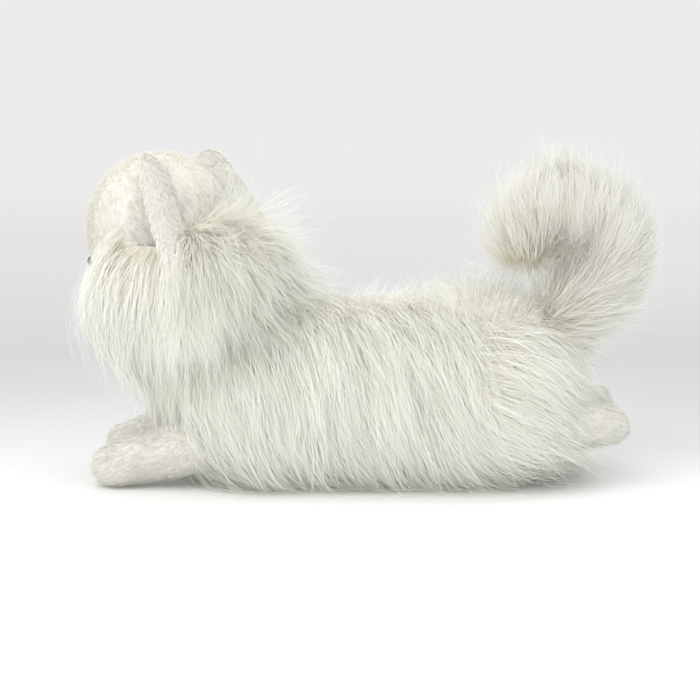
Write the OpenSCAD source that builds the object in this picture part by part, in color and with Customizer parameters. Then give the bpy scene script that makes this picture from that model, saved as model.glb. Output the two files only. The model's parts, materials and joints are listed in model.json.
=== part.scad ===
// Long-haired plush dog lying on its belly, nose towards -X, its own left side towards -Y.
// Each solid of long fur fabric includes the depth of its pile. All sizes are in millimetres.

/* [Torso] */
// Length of the torso over the ends of its pile
torso_len = 312; // [300:2:316]
// Radius of the torso over the ends of its pile
torso_r = 76; // [74:1:78]
// Radius of the torso's stuffing
torso_fill_r = 55; // [52:1:56]
// Thickness of the flat belly panel
belly_t = 5; // [4:1:6]

/* [Head] */
// Angle that the head is turned to its right at rest
head_turn = 38; // [20:1:45]
// Radius of the short-pile crown
crown_r = 57; // [55:1:58]
// Radius of the head's stuffing
head_fill_r = 48; // [46:1:49]
// Radius of the ruff over the ends of its pile
ruff_r = 84; // [82:1:85]
// Radius of the muzzle at the face
muzzle_r = 22; // [20:1:24]
// Radius of a safety eye's dome
eye_r = 6; // [5:0.5:7]
// Radius of the nose
nose_r = 7; // [6:0.5:8]

/* [Ears] */
// Thickness of one layer of an ear
ear_layer = 6; // [5:0.5:6]
// Angle that each ear is splayed outwards
ear_splay = 20; // [15:1:25]
// Angle that each ear's top leans forwards
ear_lean = 25; // [20:1:28]
// Angle that each ear's top tips towards the other ear
ear_tip_in = 20; // [16:1:24]

/* [Legs] */
// Radius of a leg at its seam
leg_root_r = 24; // [22:1:24]
// Radius of a front paw
forepaw_r = 16.5; // [15:0.5:18]
// Length of a foreleg from its seam to the centre of its paw
foreleg_len = 84; // [78:1:90]
// Radius of a hind foot
hindfoot_r = 16; // [14:0.5:17]
// Length of a hind leg from its seam to the centre of its foot
hindleg_len = 77; // [72:1:82]
// Depth of a leg's short pile and cloth
leg_cover_t = 4; // [3:0.5:5]

/* [Tail] */
// Radius of the curl along the middle of the tail
tail_curl_r = 31; // [31:0.5:32]
// Radius of the tail over its pile
tail_r = 29; // [26:1:29]
// Radius of the tail's stuffing
tail_fill_r = 12; // [10:1:13]

/* [Hidden] */
$fn = 64;
gap = 0.6;                                 // clearance between pieces that move apart
far = 400;                                 // larger than the whole toy, for cutting
cut = 1;                                   // how far a cutting shape runs past what it cuts
arc_steps = 12;                            // straight pieces in a rounded end's outline
torso_x = 10;                              // middle of the torso
torso_z = belly_t + torso_fill_r;          // height of the line through the middle of the torso
belly_x = [-88, 108];                      // where the belly panel starts and ends
belly_half_w = 40;
neck_pos = [-128, 0, 150];                 // middle of the ruff, which the head turns and nods about
neck_lean = 37;                            // lean of the neck from upright, towards the nose
neck_r = 26;
neck_ball_r = 30;
nod = 8;                                   // travel of the nod each way
neck_foot = 92;                            // length of the neck below the middle of the ruff
head_c = [-15, 0, 35];                     // middle of the crown, from the middle of the ruff
ruff_seam = 20;                               // turn of the ruff ball's own seam, clear of its cuts
face_line = 42;                            // height of the sloping edge between crown and ruff
muzzle_pos = [-36, 0, -10];                // where the muzzle leaves the face
muzzle_len = 24;
muzzle_tip_r = 16;
muzzle_t = 4;
chin_arc = 140;                            // part of the muzzle's turn that the chin panel covers
face_gap = 3;                              // room round the muzzle in the ruff's face opening
nose_c = [muzzle_pos[0] - muzzle_len - muzzle_tip_r + 2, 0, muzzle_pos[2] + 7];
nose_back = 2;                             // how far short of its ball's far side the nose is cut flat
stem_r = 1.8;
stem_len = 15;
stem_gap = 0.1;
stem_start = 2;                            // where the nose's stem starts, behind the middle of the nose
washer_r = 7;
washer_t = 1.4;
nose_washer_r = 4.5;
nose_washer_x = 14;                        // where the nose's washer sits, behind the middle of the nose
eye_sink = 1;                              // how far the middle of an eye's dome lies below the pile
eye_turn = 38;                             // angle of each eye from the middle of the face
eye_drop = 26;                             // angle of each eye below the middle of the crown
thread_r = 0.6;
mouth_down = [8, 26];                      // angles where the thread below the nose starts, and how far it runs
mouth_side = [38, 33, 22];                 // angles that a side thread turns by, starts at and runs for
ear_pos = [22, -35, 52];
ear_top = [4, 37, 13];                     // an ear's outline wraps three circles: out, up and radius of each
ear_middle = [14, -4, 22];
ear_tip = [10, -35, 8];
ear_gap = 2.5;                             // room for the ear's root to fold in
ear_pocket = [38, 60, 104];                // hollow in the ruff that an ear stands and folds in
ear_pocket_pos = [-15, -42, -50];
crown_tuck = 34;                           // depth that the crown panel runs on under the ruff
foreleg_pos = [-92, -38, 36];
foreleg_drop = asin((foreleg_pos[2] - forepaw_r) / foreleg_len);
hindleg_pos = [112, -40, 50];
hindleg_drop = 3;
leg_slot = leg_root_r + gap + stem_gap;    // half width of the opening that a leg moves in
fore_slot_top = 72;                        // height of the opening that a foreleg moves in
hind_slot = [12, 88];                      // bottom and top of the opening that a hind leg moves in
chest_half_w = -foreleg_pos[1] - leg_slot - stem_gap;
tail_c = [160, 0, 165];
tail_root = [150, 104];                    // where the tail is sewn on, along X and Z
tail_root_r = 10;
tail_from = -60;                           // where the curl starts, from +X towards +Z
tail_to = 165;                             // where the curl ends
tail_sides = 16;
tail_rings = 18;
bend_rings = 5;                            // rings in the bend up from the seam
bend_pull = [18, 14];                      // how far the bend runs straight at its start and at its end
pile_full_at = 0.35;                       // share of the tail's length where its pile is full
tip_power = 14;                            // how late the pile closes over the tail's tip
tip_close = 0.97;
tail_fill_share = 0.6;                     // most of the tail's radius that stuffing takes near the seam
tail_room = tail_curl_r + tail_r + 4;      // radius that the swinging tail sweeps

fur = [0.93, 0.92, 0.88];
short_fur = [0.95, 0.93, 0.88];
lining = [0.93, 0.89, 0.82];
fibre = [0.97, 0.97, 0.97];
black = [0.03, 0.03, 0.03];
clear = [0.85, 0.86, 0.84];

// A block that fills the half of space above the origin
module above_z() translate([-far / 2, -far / 2, 0]) cube(far);

// Draws the left side's children there or, for side 1, on the right
module mirrored(side) mirror([0, side > 0 ? 1 : 0, 0]) children();

// ---- Torso

// Half outline of a bar with round ends: its radii are r0 at the start, which is at 0, and r1 at len,
// and it runs from the angle `from` on the first end, where -90 is the very start
function bar_outline(len, r0, r1, from = -90) = let (lean = asin((r0 - r1) / len)) [
  for (i = [0:arc_steps]) let (a = from + (lean - from) * i / arc_steps) [r0 * cos(a), r0 * sin(a)],
  for (i = [0:arc_steps]) let (a = lean + (90 - lean) * i / arc_steps) [r1 * cos(a), len + r1 * sin(a)]
];
function reversed(list) = [for (i = [len(list) - 1:-1:0]) list[i]];
function torso_outline(inset) =
  bar_outline(torso_len - 2 * torso_r, torso_r - inset, torso_r - inset);

// Turns its flat children about the torso's middle line
module along_torso() translate([torso_x - torso_len / 2 + torso_r, 0, torso_z]) rotate([0, 90, 0]) children();

// The room that both pairs of legs, the ruff and the tail move in
module moving_room() {
  for (side = [-1, 1]) mirrored(side) {
    translate(foreleg_pos) sphere(leg_slot);
    translate([-far, foreleg_pos[1] - leg_slot, -far])
      cube([far + foreleg_pos[0], 2 * leg_slot, far + fore_slot_top]);
    translate(hindleg_pos) sphere(leg_slot);
    translate([hindleg_pos[0], hindleg_pos[1] - leg_slot, hind_slot[0]])
      cube([far, 2 * leg_slot, hind_slot[1] - hind_slot[0]]);
  }
  translate(neck_pos) sphere(ruff_r + gap);
  neck_frame() translate([0, 0, -neck_foot - gap]) cylinder(r = neck_r + gap, h = neck_foot);
  translate(tail_c) sphere(tail_room);
}

// The long fur over one side of the stuffing
module torso_fur(side) difference() {
  mirrored(side) along_torso() rotate_extrude(angle = 180, start = 180)
    polygon(concat(torso_outline(0), reversed(torso_outline(torso_r - torso_fill_r))));
  moving_room();
  translate([-far / 2, -far / 2, -far]) cube(far);
}

module belly_block() translate([belly_x[0], -belly_half_w, 0])
  cube([belly_x[1] - belly_x[0], 2 * belly_half_w, belly_t]);
module chest_block() translate([-far, -chest_half_w, 0]) cube([far + foreleg_pos[0], 2 * chest_half_w, far]);

module torso_stuffing() color(fibre) difference() {
  along_torso() rotate_extrude() polygon(torso_outline(torso_r - torso_fill_r));
  moving_room();
}
module torso_panel(side) color(fur) difference() {
  torso_fur(side);
  belly_block();
  chest_block();
}
module torso_left_panel() torso_panel(-1);
module torso_right_panel() torso_panel(1);
module belly_panel() color(short_fur) for (side = [-1, 1]) intersection() {
  torso_fur(side);
  belly_block();
}
module chest_panel() color(fur) for (side = [-1, 1]) intersection() {
  torso_fur(side);
  chest_block();
}

// ---- Neck and head

module neck_frame() translate(neck_pos) rotate([0, -neck_lean, 0]) children();
module head_frame() translate(neck_pos) rotate([0, 0, -head_turn]) children();

module neck_stuffing() color(fibre) neck_frame() {
  sphere(neck_ball_r);
  translate([0, 0, -neck_foot]) cylinder(r = neck_r, h = neck_foot);
}

// The room that the neck needs inside the head as the head nods
module neck_room() neck_frame() {
  sphere(neck_ball_r + gap);
  translate([0, 0, -neck_foot]) cylinder(r1 = neck_r + gap + neck_foot * tan(nod), r2 = neck_r + gap, h = neck_foot);
}

module neck_room_in_head() rotate([0, 0, head_turn]) translate(-neck_pos) neck_room();

// Everything above the sloping edge where the short pile of the crown meets the ruff
module above_face_line(tuck = 0) translate([tuck - face_line, 0, 0]) rotate([0, -45, 0]) above_z();
module crown_form() intersection() {
  translate(head_c) sphere(crown_r);
  above_face_line(crown_tuck);
}

module toward_eye(side) translate(head_c)
  rotate([0, 90 + eye_drop, side > 0 ? 180 - eye_turn : 180 + eye_turn]) children();

module eye_shape(side) toward_eye(side) {
  intersection() {
    translate([0, 0, crown_r - eye_sink]) sphere(eye_r);
    translate([0, 0, crown_r]) cylinder(r = far / 4, h = far / 4);
  }
  translate([0, 0, crown_r - stem_len]) cylinder(r = stem_r, h = stem_len);
}
module eye_washer_shape(side) toward_eye(side)
  translate([0, 0, head_fill_r - washer_t]) difference() {
    cylinder(r = washer_r, h = washer_t);
    translate([0, 0, -cut]) cylinder(r = stem_r + stem_gap, h = washer_t + 2 * cut);
  }
module eye_holes() for (side = [-1, 1]) toward_eye(side) {
  translate([0, 0, crown_r - stem_len - cut]) cylinder(r = stem_r + stem_gap, h = 2 * stem_len);
  translate([0, 0, head_fill_r - washer_t]) cylinder(r = washer_r, h = washer_t);
}
module nose_stem(r, extra) translate([nose_c[0] + stem_start, 0, nose_c[2]]) rotate([0, 90, 0])
  cylinder(r = r, h = stem_len + extra);
module nose_washer_disc() translate([nose_c[0] + nose_washer_x, 0, nose_c[2]]) rotate([0, 90, 0])
  cylinder(r = nose_washer_r, h = washer_t);

module muzzle_frame() translate(muzzle_pos) rotate([0, -90, 0]) children();
module muzzle_form(inset) muzzle_frame() rotate_extrude()
  polygon(bar_outline(muzzle_len, muzzle_r - inset, muzzle_tip_r - inset));
module head_fill() {
  translate(head_c) sphere(head_fill_r);
  muzzle_form(muzzle_t);
}

module head_stuffing() color(fibre) head_frame() difference() {
  head_fill();
  neck_room_in_head();
  eye_holes();
  nose_stem(stem_r + stem_gap, cut);
  nose_washer_disc();
  translate(nose_c) sphere(nose_r);
}

module crown_panel() color(short_fur) head_frame() difference() {
  crown_form();
  translate(head_c) sphere(head_fill_r);
  muzzle_form(0);
  eye_holes();
  neck_room_in_head();
}

// The face opening in the ruff, which the muzzle stands in
module face_room() muzzle_frame() rotate([0, 0, 90]) translate([0, 0, -muzzle_r])
  cylinder(r = muzzle_r + face_gap, h = far);

module ruff_ball() difference() {
  rotate([90, 0, ruff_seam]) sphere(ruff_r);
  above_face_line();
  crown_form();
  translate(head_c) sphere(head_fill_r);
  face_room();
  neck_room_in_head();
}
module ruff_panel(side) color(fur) head_frame() difference() {
  ruff_ball();
  translate([0, -side * far / 2, 0]) cube(far, center = true);
  ear_frame(side) translate(ear_pocket_pos) cube(ear_pocket);
}
module left_ruff_panel() ruff_panel(-1);
module right_ruff_panel() ruff_panel(1);

// Part of the muzzle's cloth: a turned sleeve from one angle to another, where 0 is straight down
module muzzle_cloth(from, sweep) color(short_fur) head_frame() difference() {
  muzzle_frame() rotate_extrude(angle = sweep, start = from) polygon(concat(
    bar_outline(muzzle_len, muzzle_r, muzzle_tip_r, 0),
    reversed(bar_outline(muzzle_len, muzzle_r - muzzle_t, muzzle_tip_r - muzzle_t, 0))));
  translate(head_c) sphere(head_fill_r);
  nose_stem(stem_r + stem_gap, cut);
  translate(nose_c) sphere(nose_r);
}
module muzzle_panel() muzzle_cloth(180 + chin_arc / 2, 360 - chin_arc);
module chin_panel() muzzle_cloth(180 - chin_arc / 2, chin_arc);
module nose() color(black) head_frame() difference() {
  union() {
    translate(nose_c) sphere(nose_r);
    nose_stem(stem_r, 0);
  }
  translate([nose_c[0] + nose_r - nose_back, 0, nose_c[2]]) rotate([0, 90, 0]) difference() {
    cylinder(r = far / 4, h = nose_r);
    cylinder(r = stem_r, h = nose_r);
  }
}
module nose_washer() color(clear) head_frame() difference() {
  nose_washer_disc();
  nose_stem(stem_r + stem_gap, cut);
}
module left_eye() color(black) head_frame() eye_shape(-1);
module right_eye() color(black) head_frame() eye_shape(1);
module left_eye_washer() color(clear) head_frame() eye_washer_shape(-1);
module right_eye_washer() color(clear) head_frame() eye_washer_shape(1);

// Thread that lies on the muzzle: one stroke down from the nose and two curling up to the sides
module mouth_stroke(turn, from, sweep) muzzle_frame() translate([0, 0, muzzle_len]) rotate([0, 0, turn])
  rotate([90, 0, 0]) rotate([0, 0, 90 + from]) rotate_extrude(angle = sweep)
  translate([muzzle_tip_r, 0]) circle(thread_r, $fn = 24);
module mouth_stitching() color(black) head_frame() {
  mouth_stroke(0, mouth_down[0], mouth_down[1]);
  for (side = [-1, 1]) mouth_stroke(side * mouth_side[0], mouth_side[1], mouth_side[2]);
}

// ---- Ears

module ear_frame(side) mirrored(side) translate(ear_pos) rotate([0, 0, ear_splay])
  rotate([0, -ear_lean, 0]) rotate([-ear_tip_in, 0, 0]) children();

// Outline of an ear, as seen from its front
module ear_outline() hull() for (c = [ear_top, ear_middle, ear_tip]) translate([c[0], c[1]]) circle(c[2]);
module ear_half(side, front) head_frame() difference() {
  ear_frame(side) translate([front ? -ear_layer : 0, 0, 0])
    rotate([90, 0, -90]) mirror([0, 0, 1]) linear_extrude(ear_layer) ear_outline();
  translate(head_c) sphere(crown_r + ear_gap);
}
module left_ear_back() color(short_fur) ear_half(-1, false);
module left_ear_lining() color(lining) ear_half(-1, true);
module right_ear_back() color(short_fur) ear_half(1, false);
module right_ear_lining() color(lining) ear_half(1, true);

// ---- Legs

// A leg's cover is a sleeve, open where it is sewn into the torso's side seam
module leg_sleeve(len, root_r, tip_r) rotate_extrude() polygon(concat(
  bar_outline(len, root_r, tip_r, 0),
  reversed(bar_outline(len, root_r - leg_cover_t, tip_r - leg_cover_t, 0))
));
module leg_fill(len, root_r, tip_r) rotate_extrude()
  polygon(bar_outline(len, root_r - leg_cover_t, tip_r - leg_cover_t));
module foreleg_frame(side) mirrored(side) translate(foreleg_pos) rotate([0, -90 - foreleg_drop, 0]) children();
module hindleg_frame(side) mirrored(side) translate(hindleg_pos) rotate([0, 90 + hindleg_drop, 0]) children();
module foreleg_cover(side) color(short_fur) foreleg_frame(side) leg_sleeve(foreleg_len, leg_root_r, forepaw_r);
module hindleg_cover(side) color(short_fur) hindleg_frame(side) leg_sleeve(hindleg_len, leg_root_r, hindfoot_r);
module foreleg_stuffing(side) color(fibre) foreleg_frame(side) leg_fill(foreleg_len, leg_root_r, forepaw_r);
module hindleg_stuffing(side) color(fibre) hindleg_frame(side) leg_fill(hindleg_len, leg_root_r, hindfoot_r);
module left_foreleg_cover() foreleg_cover(-1);
module right_foreleg_cover() foreleg_cover(1);
module left_foreleg_stuffing() foreleg_stuffing(-1);
module right_foreleg_stuffing() foreleg_stuffing(1);
module left_hindleg_cover() hindleg_cover(-1);
module right_hindleg_cover() hindleg_cover(1);
module left_hindleg_stuffing() hindleg_stuffing(-1);
module right_hindleg_stuffing() hindleg_stuffing(1);

// ---- Tail

// The tail's middle line: a short bend up from its seam, then a round curl forward over the rump
function tail_bend(t) = let (u = 1 - t)
  u * u * u * tail_root + 3 * u * u * t * (tail_root + [0, bend_pull[0]]) + 3 * u * t * t * (tail_arc(tail_from)
    - bend_pull[1] * [-sin(tail_from), cos(tail_from)]) + t * t * t * tail_arc(tail_from);
function tail_arc(a) = [tail_c[0], tail_c[2]] + tail_curl_r * [cos(a), sin(a)];
function tail_point(i) = i < bend_rings ? tail_bend(i / bend_rings)
  : tail_arc(tail_from + (tail_to - tail_from) * (i - bend_rings) / (tail_rings - bend_rings));
function tail_side(i) = let (d = tail_point(min(i + 1, tail_rings)) - tail_point(max(i - 1, 0)))
  [-d[1], d[0]] / norm(d);

// Radius over the pile: thin at the seam, full along the curl and round at the tip
function tail_pile(i) = let (t = i / tail_rings, root = min(1, t / pile_full_at))
  (tail_root_r + (tail_r - tail_root_r) * sin(90 * root)) * sqrt(1 - pow(t, tip_power) * tip_close);
function tail_fill(i) = min(tail_fill_r, tail_fill_share * tail_pile(i));
function tail_ring(i, r) = let (p = tail_point(i), n = tail_side(i)) [
  for (k = [0:tail_sides - 1]) let (a = 360 * k / tail_sides)
    [p[0] + r * cos(a) * n[0], r * sin(a), p[1] + r * cos(a) * n[1]]
];
function tube_faces(first, rings, out) = [
  for (i = [0:rings - 2], k = [0:tail_sides - 1])
    let (a = first + i * tail_sides, b = a + tail_sides, m = (k + 1) % tail_sides)
      out ? [a + k, a + m, b + m, b + k] : [a + k, b + k, b + m, a + m]
];
function cap(first, out) = let (ring = [for (k = [0:tail_sides - 1]) first + k]) out ? ring : reversed(ring);

module tail_stuffing() color(fibre) polyhedron(
  [for (i = [0:tail_rings - 1]) each tail_ring(i, tail_fill(i))],
  concat(tube_faces(0, tail_rings, true), [cap(0, false), cap((tail_rings - 1) * tail_sides, true)]));

module tail_cover() {
  inner = (tail_rings + 1) * tail_sides;
  color(fur) polyhedron(
    [for (i = [0:tail_rings]) each tail_ring(i, tail_pile(i)),
     for (i = [0:tail_rings - 1]) each tail_ring(i, tail_fill(i))],
    concat(
      tube_faces(0, tail_rings + 1, true), [cap(tail_rings * tail_sides, true)],
      tube_faces(inner, tail_rings, false), [cap(inner + (tail_rings - 1) * tail_sides, false)],
      [for (k = [0:tail_sides - 1]) let (m = (k + 1) % tail_sides) [k, inner + k, inner + m, m]]));
}

torso_stuffing();
torso_left_panel();
torso_right_panel();
belly_panel();
chest_panel();
neck_stuffing();
head_stuffing();
crown_panel();
left_ruff_panel();
right_ruff_panel();
muzzle_panel();
chin_panel();
nose();
nose_washer();
left_eye();
right_eye();
left_eye_washer();
right_eye_washer();
mouth_stitching();
left_ear_back();
left_ear_lining();
right_ear_back();
right_ear_lining();
left_foreleg_cover();
left_foreleg_stuffing();
right_foreleg_cover();
right_foreleg_stuffing();
left_hindleg_cover();
left_hindleg_stuffing();
right_hindleg_cover();
right_hindleg_stuffing();
tail_cover();
tail_stuffing();
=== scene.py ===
"""Long-haired plush dog lying on its belly: cloth, pile, face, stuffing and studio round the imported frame.

Everything is in metres. The nose points towards -X, and the dog's own left side is towards -Y.
"""

from __future__ import annotations

import json
import logging
import math
from collections.abc import Callable, Sequence
from dataclasses import dataclass
from enum import Enum

import bpy
import numpy as np
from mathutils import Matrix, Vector
from mathutils.kdtree import KDTree

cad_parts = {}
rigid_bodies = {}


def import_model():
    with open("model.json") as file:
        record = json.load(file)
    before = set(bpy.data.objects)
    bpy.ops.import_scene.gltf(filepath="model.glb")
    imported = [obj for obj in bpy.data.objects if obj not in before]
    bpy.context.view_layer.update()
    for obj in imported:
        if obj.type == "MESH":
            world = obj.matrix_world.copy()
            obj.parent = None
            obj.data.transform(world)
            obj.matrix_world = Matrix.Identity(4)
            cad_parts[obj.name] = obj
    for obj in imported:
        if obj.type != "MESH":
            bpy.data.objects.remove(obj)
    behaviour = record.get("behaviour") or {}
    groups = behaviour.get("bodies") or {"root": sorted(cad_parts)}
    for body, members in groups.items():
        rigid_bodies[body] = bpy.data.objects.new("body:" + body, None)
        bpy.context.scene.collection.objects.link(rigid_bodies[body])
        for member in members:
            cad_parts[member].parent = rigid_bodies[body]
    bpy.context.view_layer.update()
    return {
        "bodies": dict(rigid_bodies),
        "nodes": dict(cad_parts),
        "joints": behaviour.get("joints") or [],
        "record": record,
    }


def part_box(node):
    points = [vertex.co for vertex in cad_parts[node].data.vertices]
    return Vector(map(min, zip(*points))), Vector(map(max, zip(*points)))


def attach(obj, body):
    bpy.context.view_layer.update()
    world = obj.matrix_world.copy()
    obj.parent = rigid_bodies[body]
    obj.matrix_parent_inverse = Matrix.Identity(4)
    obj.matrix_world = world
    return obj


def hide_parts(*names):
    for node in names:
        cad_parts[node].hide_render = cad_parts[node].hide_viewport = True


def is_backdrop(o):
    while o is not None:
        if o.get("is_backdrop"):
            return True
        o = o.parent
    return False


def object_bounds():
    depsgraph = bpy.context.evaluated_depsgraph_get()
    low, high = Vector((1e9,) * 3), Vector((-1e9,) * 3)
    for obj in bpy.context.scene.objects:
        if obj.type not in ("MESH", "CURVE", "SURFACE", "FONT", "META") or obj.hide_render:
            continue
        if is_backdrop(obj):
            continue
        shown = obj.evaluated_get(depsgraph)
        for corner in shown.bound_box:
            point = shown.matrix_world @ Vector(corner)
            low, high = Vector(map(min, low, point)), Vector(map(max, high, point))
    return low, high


LOG = logging.getLogger("plush_dog")
UP = np.array([0.0, 0.0, 1.0])
TINY = 1e-12
ALMOST_POLE = math.pi / 2 * 0.985

Array = np.ndarray
Comb = Callable[[Array], Array]
Colour = tuple[float, float, float]
Vec = Sequence[float]


class Side(Enum):
    """The dog's own sides, with the sign of Y that each lies on."""

    LEFT = -1
    RIGHT = 1

    @property
    def word(self) -> str:
        """The side's name in piece and node names."""
        return self.name.lower()


def unit(v: Array) -> Array:
    """Scales each vector to length one.

    Args:
        v: Vectors along the last axis.

    Returns:
        The unit vectors.
    """
    return v / np.maximum(np.linalg.norm(v, axis=-1, keepdims=True), TINY)


def turned(v: Array, axis: Array, angle: Array) -> Array:
    """Turns vectors about unit axes, one angle each.

    Args:
        v: Vectors, one a row.
        axis: Unit axes, one a row.
        angle: Angles in radians.

    Returns:
        The turned vectors.
    """
    c, s = np.cos(angle)[..., None], np.sin(angle)[..., None]
    along = np.sum(v * axis, axis=-1, keepdims=True)
    return v * c + np.cross(axis, v) * s + axis * along * (1 - c)


def spun(a: Array, b: Array, angle: float) -> tuple[Array, Array]:
    """Turns points in one plane, from its first axis towards its second."""
    c, s = math.cos(angle), math.sin(angle)
    return a * c - b * s, a * s + b * c


def ease(x: Array | float, low: float, high: float) -> Array:
    """A smooth step from 0 at low to 1 at high."""
    t = np.clip((np.asarray(x) - low) / (high - low), 0.0, 1.0)
    return t * t * (3 - 2 * t)


# ---------------------------------------------------------------- the frame


def joint_line(frame: dict, name: str) -> tuple[Array, Array]:
    """Finds the line that a joint turns about.

    Args:
        frame: The loaded frame.
        name: The joint's name.

    Returns:
        A point on the line, and its direction.
    """
    joint = next(j for j in frame["record"]["behaviour"]["joints"] if j["name"] == name)
    return np.array(joint["pos_m"], float), np.array(joint["axis"], float)


@dataclass(frozen=True)
class HeadFrame:
    """The head's own axes, from the neck's middle: x from nose to nape, y to its right and z up."""

    origin: Array
    turn: float

    @classmethod
    def of(cls, frame: dict) -> HeadFrame:
        """Reads the head's place and turn from the line that it nods about."""
        place, axis = joint_line(frame, "head_nod")
        return cls(place, math.atan2(axis[0], axis[1]))

    def way(self, v: Vec | Array) -> Array:
        """Turns directions from the head's axes to the toy's.

        Args:
            v: Directions in the head's axes.

        Returns:
            The same directions in the toy's axes.
        """
        v = np.asarray(v, float)
        c, s = math.cos(self.turn), math.sin(self.turn)
        return np.stack([v[..., 0] * c + v[..., 1] * s, v[..., 1] * c - v[..., 0] * s, v[..., 2]], -1)

    def at(self, v: Vec | Array) -> Array:
        """Moves points from the head's axes to the toy's."""
        return self.origin + self.way(v)

    def local(self, p: Array) -> Array:
        """Moves points from the toy's axes to the head's.

        Args:
            p: Points in the toy's axes.

        Returns:
            The same points in the head's axes.
        """
        v = p - self.origin
        c, s = math.cos(self.turn), math.sin(self.turn)
        return np.stack([v[..., 0] * c - v[..., 1] * s, v[..., 1] * c + v[..., 0] * s, v[..., 2]], -1)


# ---------------------------------------------------------------- mesh making


@dataclass
class Shell:
    """Points and four-sided faces of one surface, before it becomes a mesh."""

    points: Array
    faces: Array

    @property
    def tris(self) -> Array:
        """The faces split into triangles."""
        return np.concatenate([self.faces[:, [0, 1, 2]], self.faces[:, [0, 2, 3]]])

    def corners(self) -> tuple[Array, Array]:
        """Measures the faces, split into triangles.

        Returns:
            The corner points of each triangle and each triangle's unit normal times its area.
        """
        c = self.points[self.tris]
        return c, np.cross(c[:, 1] - c[:, 0], c[:, 2] - c[:, 0]) / 2

    def kept(self, keep: Callable[[Array], Array]) -> Shell:
        """The faces whose middles pass a test.

        Args:
            keep: Takes face middles and returns True for each one that stays.

        Returns:
            The smaller surface.
        """
        faces = self.faces[keep(self.points[self.faces].mean(axis=1))]
        used, flat = np.unique(faces, return_inverse=True)
        return Shell(self.points[used], flat.reshape(-1, 4))


def tube(path: Array, radii: Array, sides: int = 40, end_rings: int = 6) -> Shell:
    """Sweeps a round bar with round ends along a path.

    Args:
        path: Points of the middle line.
        radii: Radius at each point.
        sides: Faces round the bar.
        end_rings: Rings in each round end.

    Returns:
        The closed surface, facing outwards.
    """
    ahead = unit(np.gradient(path, axis=0))
    first = [(path[0] - ahead[0] * radii[0] * math.sin(a), radii[0] * math.cos(a), ahead[0])
             for a in np.linspace(ALMOST_POLE, 0, end_rings, endpoint=False)]
    body = list(zip(path, radii, ahead, strict=True))
    last = [(path[-1] + ahead[-1] * radii[-1] * math.sin(a), radii[-1] * math.cos(a), ahead[-1])
            for a in np.linspace(0, ALMOST_POLE, end_rings + 1)[1:]]
    rings = first + body + last
    upright = abs(rings[0][2][2]) >= 0.9
    side = unit(np.cross(rings[0][2], np.array([0.0, 1.0, 0.0]) if upright else UP))
    points = []
    angles = np.linspace(0, 2 * math.pi, sides, endpoint=False)
    for centre, radius, heading in rings:
        side = unit(side - heading * np.dot(side, heading))
        over = np.cross(side, heading)
        points.append(centre + radius * (np.cos(angles)[:, None] * side + np.sin(angles)[:, None] * over))
    count = len(rings)
    grid = np.arange(count * sides).reshape(count, sides)
    after = np.roll(grid, -1, axis=1)
    faces = np.stack([grid[:-1], grid[1:], after[1:], after[:-1]], -1).reshape(-1, 4)
    tips = np.array([rings[0][0], rings[-1][0]])
    n = count * sides
    half = sides // 2
    near, last_ring = grid[0], grid[-1]
    fans = [[near[2 * i], near[2 * i + 1], near[(2 * i + 2) % sides], n] for i in range(half)]
    fans += [[last_ring[(2 * i + 2) % sides], last_ring[2 * i + 1], last_ring[2 * i], n + 1]
             for i in range(half)]
    faces = np.concatenate([faces, np.array(fans)])
    points = np.concatenate(points + [tips])
    shell = Shell(points, faces)
    corners, normals = shell.corners()
    volume = np.sum(corners[:, 0] * normals)
    return shell if volume > 0 else Shell(points, faces[:, ::-1].copy())


def bar(a: Vec, b: Vec, ra: float, rb: float, rings: int = 12, sides: int = 40) -> Shell:
    """A straight round-ended bar whose radius changes evenly.

    Args:
        a: Middle of its first end.
        b: Middle of its second end.
        ra: Radius at a.
        rb: Radius at b.
        rings: Rings along it.
        sides: Faces round it.

    Returns:
        The closed surface.
    """
    t = np.linspace(0, 1, rings)[:, None]
    path = np.asarray(a, float) * (1 - t) + np.asarray(b, float) * t
    return tube(path, ra * (1 - t[:, 0]) + rb * t[:, 0], sides)


def smooth_normals(shell: Shell) -> Array:
    """Works out a unit normal at each point of a surface.

    Args:
        shell: The surface.

    Returns:
        One normal a point.
    """
    _, normals = shell.corners()
    out = np.zeros_like(shell.points)
    for k in range(3):
        np.add.at(out, shell.tris[:, k], normals)
    return unit(out)


def ripple(points: Array, size: float, seed: int) -> Array:
    """A soft, seeded unevenness from a few crossing waves, between about -1 and 1.

    Args:
        points: Where to read it.
        size: Length of a wave.
        seed: Picks the waves.

    Returns:
        One value a point.
    """
    rng = np.random.default_rng(seed)
    ways = unit(rng.normal(size=(7, 3))) * (2 * math.pi / size) * rng.uniform(0.6, 1.5, (7, 1))
    return np.sin(points @ ways.T + rng.uniform(0, 2 * math.pi, 7)).sum(axis=1) / 3.5


def swelled(shell: Shell, amount: float, size: float, seed: int) -> Shell:
    """The surface with soft lumps, as cloth over fibre fill has."""
    push = ripple(shell.points, size, seed)[:, None] * amount
    return Shell(shell.points + smooth_normals(shell) * push, shell.faces)


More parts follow.
